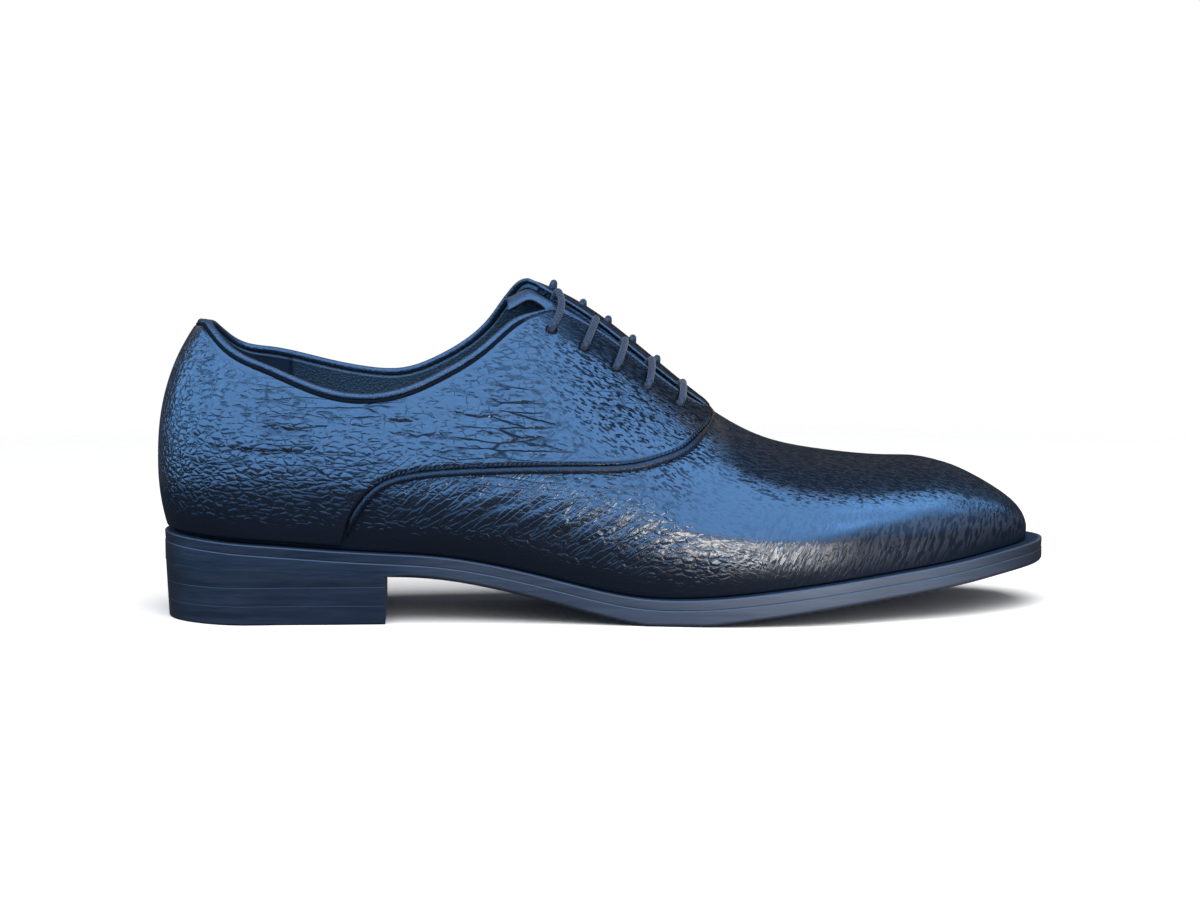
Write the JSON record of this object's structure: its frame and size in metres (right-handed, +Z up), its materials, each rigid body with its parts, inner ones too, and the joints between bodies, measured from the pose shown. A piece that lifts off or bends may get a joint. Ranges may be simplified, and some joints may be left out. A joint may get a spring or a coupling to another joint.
{
  "type": "oxford shoe",
  "caption": "Plain lace-up oxford dress shoe for the right foot, with a grained hollow upper over an almond toe, lapped quarters, and a leather sole on a stacked heel.",
  "frame": {"origin": "middle of the bounding box on the floor that the shoe stands on", "axes": "+X to the toe, +Y to the inner (medial) side, +Z up"},
  "size_m": [0.3092, 0.0995, 0.1147],
  "materials": {
    "navy_leather": "grained, semi-gloss",
    "lining_leather": "smooth, dull",
    "sole_edge": "waxed edge, satin",
    "tread_rubber": "dull",
    "lace_cord": "waxed cotton"
  },
  "bodies": {
    "root": {"heel_top_piece": "tread_rubber", "heel_lift_lower": "sole_edge", "heel_lift_upper": "sole_edge", "outsole": "sole_edge", "midsole": "sole_edge", "insole": "lining_leather", "upper": "navy_leather", "quarter_lateral": "navy_leather", "quarter_medial": "navy_leather", "seam_bead": "navy_leather", "collar_bead": "navy_leather", "tongue": "lining_leather", "lace_bar_1": "lace_cord", "lace_bar_2": "lace_cord", "lace_bar_3": "lace_cord", "lace_bar_4": "lace_cord", "lace_bar_5": "lace_cord"}
  },
  "joints": []
}
